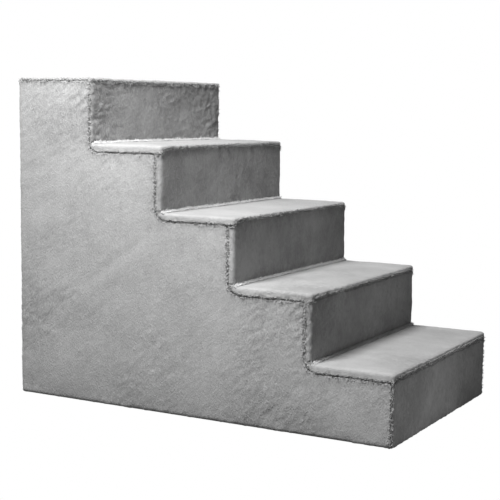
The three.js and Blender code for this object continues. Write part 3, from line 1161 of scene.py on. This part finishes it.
def zip_metal():
    finish = Finish("zip_metal")
    scratches = finish.noise(finish.moved((900, 900, 60)), 1.0, 4, 0.7)
    dull = finish.noise(finish.coords, 220, 3)
    finish.set(base_color=finish.mix(dull, (0.46, 0.46, 0.47, 1), (0.66, 0.66, 0.67, 1)))
    finish.set(metallic=1.0, roughness=scratches * 0.25 + 0.2)
    finish.bump(scratches, 0.03 * MM, 0.4)
    return finish.material


def thread():
    finish = Finish("thread")
    ply = finish.node("ShaderNodeTexWave", {"bands_direction": "DIAGONAL"},
                      {"Vector": finish.coords, "Scale": 900, "Distortion": 0.5})
    finish.set(base_color=finish.mix(ply, (0.3, 0.3, 0.3, 1), (0.52, 0.52, 0.52, 1)))
    finish.set(roughness=0.6)
    finish.bump(ply, 0.1 * MM, 0.6)
    return finish.material


TAPE, COIL, METAL, THREAD = woven_tape(), nylon(), zip_metal(), thread()

# %% Tapes
TAPE_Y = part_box("zip_tape_fixed")[1].y
TAPE_THICK = size_of("zip_tape_fixed").y
TAPE_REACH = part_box("zip_tape_fixed")[1].x - ZIP_X
FLAP_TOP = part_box("zip_tape_flap")[1].z
TAPE_GAP = 1 * MM


def woven_strip(name, lines, nodes, body, y=TAPE_Y):
    """A closed woven strip; lines are equal-length rows of points (x, z) across its width."""
    bm = bmesh.new()
    columns, rows = list(range(len(lines[0]))), list(range(len(lines)))
    place_grid(bm, columns, rows, lambda u, v: Vector((lines[v][u][0], y, lines[v][u][1])))
    face_towards(bm, Vector((0, 1, 0)))
    obj = make_object(name, bm, TAPE)
    solid = obj.modifiers.new("tape_thickness", "SOLIDIFY")
    solid.thickness = TAPE_THICK
    solid.offset = -1
    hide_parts(*nodes)
    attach(obj, body)
    return obj


def u_rows(inner, outer, top):
    return [u_line(offset, top, 3 * MM) for offset in stops([inner, outer], 1.2 * MM)]


tapes = {"rear_top": [], "rear_bottom": [], "flap": []}
tapes["rear_bottom"].append(woven_strip("tape_fixed", u_rows(TAPE_GAP, TAPE_REACH, BAY_TOP), ["zip_tape_fixed"], "stairs"))
flap_rows = u_rows(-TAPE_REACH, -TAPE_GAP, FLAP_TOP)
tapes["flap"].append(woven_strip("tape_flap", flap_rows, ["zip_tape_flap"], "flap"))
for name, side in (("tape_neck_left", -1), ("tape_neck_right", 1)):
    edges = stops([ZIP_X - TAPE_REACH, ZIP_X - TAPE_GAP], 1.2 * MM)
    rows = [[(side * x, z) for z in stops([HINGE + 0.3 * MM, BAY_TOP], 3 * MM)] for x in edges]
    tapes["rear_top"].append(woven_strip(name, rows, [], "stairs"))

# %% Teeth
PITCH = 1.6 * MM
TOOTH = (0.8 * MM, 2.0 * MM, 3.3 * MM)
COIL_Y = (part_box("zip_coil_fixed")[0].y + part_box("zip_coil_fixed")[1].y) / 2
TOOTH_OUT = 1.45 * MM


def tooth_places(side, half_step):
    path = [Vector((x, COIL_Y, z)) for x, z in u_line(0, ZIP_TOP - PITCH, PITCH)]
    places = []
    for a, b in zip(path, path[1:]):
        along = (b - a).normalized()
        out = Vector((0, 1, 0)).cross(along)
        middle = a.lerp(b, half_step) + out * side * TOOTH_OUT
        places.append(stand(middle, along, Vector((0, 1, 0)), out, TOOTH))
    return places


def add_teeth(name, places, nodes, body):
    one = bmesh.new()
    bmesh.ops.create_cube(one, size=1)
    bmesh.ops.bevel(one, geom=one.edges, offset=0.28, segments=1, profile=0.5, affect="EDGES", material=-1)
    obj = make_object(name, repeat_shape(one, places), COIL)
    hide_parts(*nodes)
    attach(obj, body)
    print(name, len(places), "teeth")


inner_teeth = tooth_places(-1, 0.75)
add_teeth("teeth_fixed", tooth_places(1, 0.25), ["zip_coil_fixed"], "stairs")
add_teeth("teeth_flap", [p for p in inner_teeth if p.translation.z < FLAP_TOP], ["zip_coil_flap"], "flap")
add_teeth("teeth_neck", [p for p in inner_teeth if p.translation.z > HINGE], [], "stairs")

# %% [markdown]
# ## Stitches and end tabs
# A row of stitches holds the tape to the cloth on each side. A folded tab of tape covers each end. The
# slider, its pull and the end stops keep their shapes from the model and get a plated finish.

# %% Stitches
STITCH = 2.6 * MM
STITCH_PITCH = 3.6 * MM
STITCH_IN = 3 * MM


def stitch_places(lines, surfaces):
    places = []
    for line in lines:
        for a, b in zip(line, line[1:]):
            start, end = Vector((a[0], REAR, a[1])), Vector((b[0], REAR, b[1]))
            along = (end - start).normalized()
            out = Vector((0, 1, 0)).cross(along)
            hits = [surface.find_nearest((start + end) / 2) for surface in surfaces]
            point = min(hits, key=lambda hit: hit[3])[0]
            places.append(stand(point, along, Vector((0, 1, 0)), out, (STITCH, 0.7 * MM, 0.6 * MM)))
    return places


def add_stitches(name, places):
    one = bmesh.new()
    bmesh.ops.create_cube(one, size=1)
    bmesh.ops.bevel(one, geom=one.edges, offset=0.3, segments=1, profile=0.5, affect="EDGES", material=-1)
    obj = make_object(name, repeat_shape(one, places), THREAD)
    print(name, len(places), "stitches")
    return obj


fixed_line = u_line(REVEAL + STITCH_IN, BAY_TOP, STITCH_PITCH)
fixed_cloth = [rear_surfaces[name] for name in ("rear_left", "rear_right", "rear_bottom")]
fixed_stitches = add_stitches("stitches_fixed", stitch_places([fixed_line], fixed_cloth))
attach(fixed_stitches, "stairs")
flap_line = u_line(-REVEAL - STITCH_IN, BAY_TOP, STITCH_PITCH)
flap_cloth = [rear_surfaces[name] for name in ("rear_top", "flap")]
fold_line = [(x, FOLD_TOP + STITCH_IN) for x in stops([-FLAP_X + STITCH_IN, FLAP_X - STITCH_IN], STITCH_PITCH)]
flap_stitches = add_stitches("stitches_flap", stitch_places([flap_line, fold_line], flap_cloth))
bend_at_fold(flap_stitches)


# %% End tabs and metal parts
def end_tab(name, node):
    low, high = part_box(node)
    xs, zs = stops([low.x, high.x], 1.5 * MM), stops([low.z, high.z], 1.5 * MM)
    rows = [[(x, z) for x in xs] for z in zs]
    tapes["rear_top"].append(woven_strip(name, rows, [node], "stairs", high.y))


for side in ("left", "right"):
    end_tab(f"end_tab_{side}", f"zip_end_tab_{side}")
for node in ("zip_slider", "zip_pull", "zip_stop_left", "zip_stop_right"):
    bpy.data.objects[node].material_slots[0].material = METAL

tapes["rear_bottom"].append(fixed_stitches)
tapes["flap"].append(flap_stitches)
for name, (obj, width, height, area) in rear_cuts.items():
    declare_sheet(obj, width, height, area, tapes.get(name, []))

# %% [markdown]
# ## Foam core
# Five slabs of cut foam, one for each step, carry the weight. They sit a little inside the cover, which
# squeezes their edges round. Their open cells show where the rear is open.

# %% Foam slabs
FOAM_SQUEEZE = 2.4 * MM
FOAM_ROUND = 8 * MM


def open_cell():
    finish = Finish("foam")
    cells = finish.node("ShaderNodeTexVoronoi", {"feature": "F1"}, {"Vector": finish.coords, "Scale": 480})
    pores = finish.node("ShaderNodeTexVoronoi", {"feature": "F1"}, {"Vector": finish.coords, "Scale": 210})
    worn = finish.noise(finish.coords, 14, 4)
    shade = finish.ramp(cells, 0.1, 0.6) * 0.5 + worn * 0.5
    finish.set(base_color=finish.mix(shade, (0.42, 0.41, 0.39, 1), (0.66, 0.65, 0.62, 1)))
    finish.set(roughness=0.95, specular_ior_level=0.1)
    finish.bump(cells * 0.6 + pores * 0.4, 0.8 * MM, 0.8)
    return finish.material


FOAM = open_cell()


def foam_slab(n):
    low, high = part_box(CORE[n])
    low += Vector((FOAM_SQUEEZE, FOAM_SQUEEZE, FOAM_SQUEEZE if n == 0 else 0))
    high -= Vector((FOAM_SQUEEZE, 0.5 * MM, FOAM_SQUEEZE))
    bm = bmesh.new()
    bmesh.ops.create_cube(bm, size=1)
    bmesh.ops.scale(bm, verts=bm.verts, vec=high - low)
    bmesh.ops.translate(bm, verts=bm.verts, vec=(low + high) / 2)
    bmesh.ops.bevel(bm, geom=bm.edges, offset=FOAM_ROUND, segments=3, profile=0.5, affect="EDGES",
                    material=-1)
    long_edges = [e for e in bm.edges if e.calc_length() > 60 * MM]
    bmesh.ops.subdivide_edges(bm, edges=long_edges, cuts=9, use_grid_fill=True)
    for vert in bm.verts:
        vert.co += vert.normal * 0.5 * MM * noise.noise(vert.co * 30)
    obj = make_object(CORE[n].replace("foam_slab", "foam"), bm, FOAM)
    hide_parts(CORE[n])
    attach(obj, "stairs")


for n in range(STEPS):
    foam_slab(n)

# %% [markdown]
# ## Base
# The base is a firm woven cloth with rows of rubbery dots that grip a smooth floor. The dots are printed
# on it, so each is a low dome that is only a little proud.

# %% Base cloth and grip dots
DOT_PITCH = 12 * MM
DOT_PROUD = 0.6 * MM


def grip_cloth(name, dark, pale, scale):
    finish = Finish(name)
    weave = finish.node("ShaderNodeTexChecker", inputs={"Vector": finish.coords, "Scale": scale})
    worn = finish.noise(finish.coords, 25, 4)
    finish.set(base_color=finish.mix(worn * 0.7 + weave * 0.3, (*dark, 1), (*pale, 1)), roughness=0.85)
    finish.bump(weave * 0.5 + worn * 0.5, 0.2 * MM, 0.6)
    return finish.material


def base_cloth():
    low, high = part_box("base_panel")
    bm = bmesh.new()
    xs, ys = stops([low.x, high.x], 8 * MM), stops([low.y, high.y], 8 * MM)
    place_grid(bm, xs, ys, lambda x, y: Vector((x, y, low.z + DOT_PROUD)))
    face_towards(bm, Vector((0, 0, -1)))
    area = cut_area(bm)
    obj = make_object("base_cloth", bm, grip_cloth("grip_cloth", (0.10, 0.10, 0.105), (0.17, 0.17, 0.175), 700))
    solid = obj.modifiers.new("cloth_thickness", "SOLIDIFY")
    solid.thickness = 1.6 * MM
    solid.offset = -1
    one = bmesh.new()
    bmesh.ops.create_cone(one, cap_ends=True, segments=10, radius1=0.5, radius2=0.36, depth=1)
    spots = [(x, y) for x in stops([low.x + DOT_PITCH, high.x - DOT_PITCH], DOT_PITCH)
             for y in stops([low.y + DOT_PITCH, high.y - DOT_PITCH], DOT_PITCH)]
    across, along, down = Vector((1, 0, 0)), Vector((0, -1, 0)), Vector((0, 0, -1))
    size = (4 * MM, 4 * MM, DOT_PROUD + 0.4 * MM)
    lift = low.z + size[2] / 2
    places = [stand(Vector((x, y, lift)), across, along, down, size) for x, y in spots]
    dots = make_object("grip_dots", repeat_shape(one, places), grip_cloth("grip_dots", (0.04,) * 3, (0.07,) * 3, 90))
    for piece in (obj, dots):
        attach(piece, "stairs")
    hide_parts("base_panel")
    print("base has", len(places), "dots")


base_cloth()

# %% [markdown]
# ## Floor and light
# A pale floor, and one large soft light high on the left and a little behind the stairs. It reaches the
# treads and the near side, and leaves the risers in soft shade, lit only by the room.

# %% Floor, light and room
scene = bpy.context.scene
scene.view_settings.view_transform = "Standard"


def soft_light(name, place, aim, width, height, watts):
    data = bpy.data.lights.new(name, "AREA")
    data.shape = "RECTANGLE"
    data.size = width
    data.size_y = height
    data.energy = watts
    light = bpy.data.objects.new(name, data)
    light.location = place
    light.rotation_euler = (Vector(aim) - Vector(place)).to_track_quat("-Z", "Y").to_euler()
    scene.collection.objects.link(light)
    return light


soft_light("key", (-0.82, 0.03, 1.42), (-0.05, 0.01, 0.3), 0.5, 0.5, 41.5)
soft_light("low_fill", (-0.08, -0.56, 0.03), (-0.08, -0.37, 0.06), 0.24, 0.05, 0.11)
soft_light("rear_fill", (1.2, 1.4, 0.42), (0.0, 0.1, 0.28), 0.7, 0.5, 11)


def pale_floor():
    finish = Finish("floor")
    glow = finish.node("ShaderNodeEmission", inputs={"Color": (1, 1, 1, 1), "Strength": 1.0})
    matte = finish.node("ShaderNodeBsdfDiffuse", inputs={"Color": (0.12, 0.12, 0.12, 1)})
    seen = finish.node("ShaderNodeLightPath", output="Is Camera Ray")
    both = finish.node("ShaderNodeMixShader", inputs=[seen, matte, glow])
    output = finish.nodes["Material Output"]
    finish.links.new(both.socket, output.inputs["Surface"])
    bm = bmesh.new()
    bmesh.ops.create_grid(bm, x_segments=1, y_segments=1, size=6)
    floor = make_object("floor", bm, finish.material)


def room():
    world = bpy.data.worlds.new("room")
    scene.world = world
    world.use_nodes = True
    nodes, links = world.node_tree.nodes, world.node_tree.links
    dim = nodes["Background"]
    dim.inputs["Color"].default_value = (1, 1, 1, 1)
    dim.inputs["Strength"].default_value = 0.15
    white = nodes.new("ShaderNodeBackground")
    white.inputs["Color"].default_value = (1, 1, 1, 1)
    path = nodes.new("ShaderNodeLightPath")
    both = nodes.new("ShaderNodeMixShader")
    links.new(path.outputs["Is Camera Ray"], both.inputs[0])
    links.new(dim.outputs[0], both.inputs[1])
    links.new(white.outputs[0], both.inputs[2])
    links.new(both.outputs[0], nodes["World Output"].inputs["Surface"])


pale_floor()
room()
